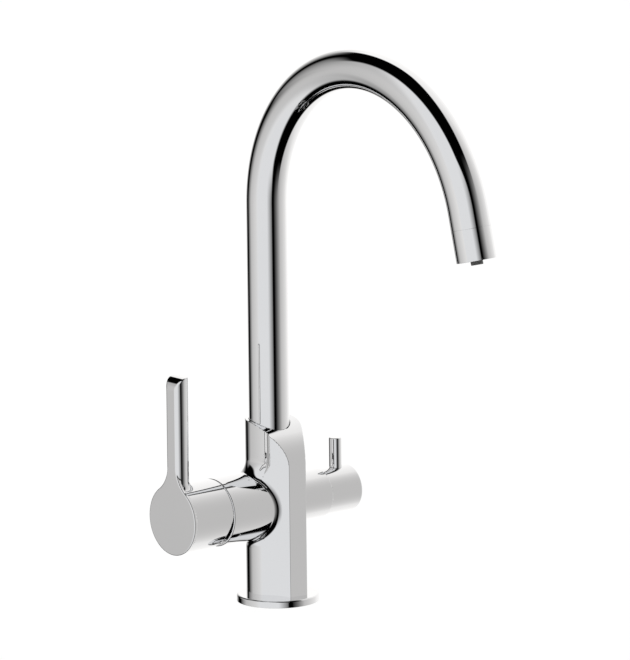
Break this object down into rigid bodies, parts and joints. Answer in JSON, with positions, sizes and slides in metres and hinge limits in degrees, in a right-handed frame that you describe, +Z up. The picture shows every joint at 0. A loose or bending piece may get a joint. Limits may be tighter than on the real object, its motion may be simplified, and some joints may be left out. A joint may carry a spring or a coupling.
{
  "type": "three way filtered water tap",
  "caption": "Kitchen mixer tap with a tall arched swivel spout, a side mixing lever and a quarter-turn knob for filtered water.",
  "frame": {"origin": "centre of the base flange's underside, where the tap meets the worktop", "axes": "+Z up along the riser, the spout reaches towards -Y, the mixing lever is on the -X side and the filter knob on the +X side"},
  "size_m": [0.1438, 0.2392, 0.3663],
  "materials": {
    "chrome": "bright polished plate",
    "brass": "turned, bare",
    "steel": "machined",
    "rubber": "matt moulded",
    "ceramic": "lapped",
    "white_plastic": "moulded, satin",
    "grey_plastic": "moulded, satin"
  },
  "bodies": {
    "body": {"base_flange": "chrome", "base_seal": "rubber", "body_casting": "chrome", "spout_slip_ring": "white_plastic", "spout_stop_screw": "steel", "filter_liner_seal": "rubber", "cartridge_seal": "rubber", "cartridge_base": "white_plastic", "cartridge_fixed_disc": "ceramic", "cartridge_housing": "grey_plastic", "cartridge_nut": "brass", "cartridge_shroud": "chrome", "filter_valve_head": "brass", "filter_valve_seal": "rubber", "filter_valve_fixed_disc": "ceramic", "filter_spindle_seal": "rubber"},
    "spout": {"spout_tube": "chrome", "spout_end_fitting": "brass", "spout_lower_seal": "rubber", "spout_upper_seal": "rubber", "filter_liner_tube": "white_plastic", "outlet_sleeve": "chrome", "aerator_seal": "rubber", "aerator_insert": "grey_plastic", "filter_nozzle": "grey_plastic"},
    "mixer_carrier": {"cartridge_carrier": "white_plastic", "cartridge_pivot_pin": "steel"},
    "mixer_disc": {"cartridge_moving_disc": "ceramic", "cartridge_disc_driver": "white_plastic"},
    "mixer_lever": {"mixer_lever": "chrome", "mixer_lever_screw": "steel", "cartridge_spindle": "steel"},
    "filter_knob": {"filter_knob": "chrome", "filter_knob_pin": "chrome", "filter_knob_screw": "steel", "filter_valve_spindle": "brass", "filter_valve_moving_disc": "ceramic"}
  },
  "joints": [
    {"name": "spout_swivel", "type": "hinge", "parent": "body", "child": "spout", "pos_m": [0, 0.0066, 0.1], "axis": [0, 0, 1], "range_deg": [-75, 75]},
    {"name": "mixer_temperature", "type": "hinge", "parent": "body", "child": "mixer_carrier", "pos_m": [-0.037, 0.0066, 0.062], "axis": [1, 0, 0], "range_deg": [-45, 45]},
    {"name": "mixer_flow", "type": "hinge", "parent": "mixer_carrier", "child": "mixer_lever", "pos_m": [-0.037, 0.0066, 0.062], "axis": [0, -1, 0], "range_deg": [0, 15]},
    {"name": "mixer_disc_slide", "type": "slide", "parent": "mixer_carrier", "child": "mixer_disc", "axis": [0, 0, 1], "range_m": [0, 0.0031]},
    {"name": "filter_knob_turn", "type": "hinge", "parent": "body", "child": "filter_knob", "pos_m": [0.05, 0.0066, 0.062], "axis": [1, 0, 0], "range_deg": [0, 90]}
  ],
  "couplings": [
    {"joint": "mixer_disc_slide", "follows": "mixer_flow", "m_per_rad": 0.0115}
  ]
}
